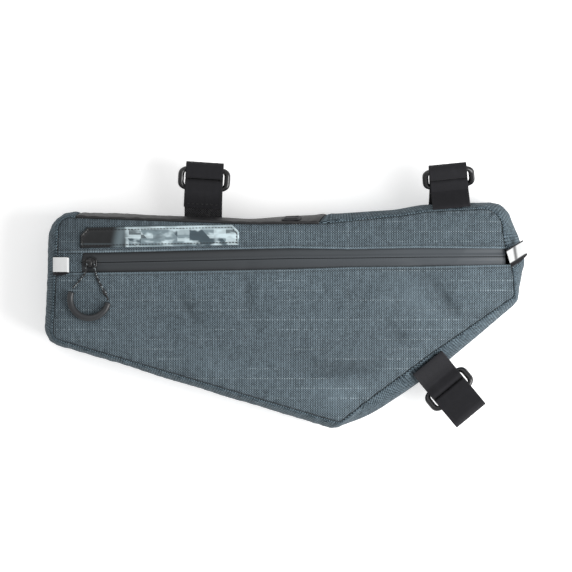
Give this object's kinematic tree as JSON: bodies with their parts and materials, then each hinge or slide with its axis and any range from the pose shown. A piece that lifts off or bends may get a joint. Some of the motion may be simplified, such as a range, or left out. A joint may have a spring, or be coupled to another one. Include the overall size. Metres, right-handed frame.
{
  "type": "bicycle frame bag",
  "caption": "Slim zipped frame bag for a bicycle, with a heathered grey front, a black top section, short webbing straps with rings, and a moulded zip pull.",
  "frame": {"origin": "middle of the bag's footprint on the floor, under its flat back panel, without the pull cord", "axes": "+X along the bag towards the end with the angled loop, +Y towards the top edge as worn, +Z from the back panel to the zipped front"},
  "size_m": [0.3912, 0.2168, 0.06],
  "materials": {
    "cloth_grey": "matte",
    "cloth_coated": "satin",
    "cloth_back": "matte",
    "zip_coated": "satin",
    "metal_black": "satin",
    "rubber_grey": "satin",
    "cord_black": "matte",
    "label_dark": "satin",
    "rubber_black": "satin",
    "webbing_black": "matte",
    "tape_reflective": "satin"
  },
  "bodies": {
    "root": {"gusset": "cloth_grey", "front_panel_lower": "cloth_grey", "front_panel_upper": "cloth_grey", "zip_end": "cloth_grey", "gusset_top": "cloth_coated", "back_panel": "cloth_back", "zip_tape_lower": "zip_coated", "zip_tape_upper": "zip_coated", "zip_slider": "metal_black", "ring_top_left": "metal_black", "ring_top_right": "metal_black", "ring_bottom": "metal_black", "pull_grip": "rubber_grey", "pull_cord": "cord_black", "label_patch": "label_dark", "cable_port": "rubber_black", "strap_top_left": "webbing_black", "strap_top_right": "webbing_black", "strap_bottom": "webbing_black", "ring_tab_top_left": "webbing_black", "ring_tab_top_right": "webbing_black", "ring_tab_bottom": "webbing_black", "reflective_tab_left": "tape_reflective", "reflective_tab_right": "tape_reflective"}
  },
  "joints": []
}
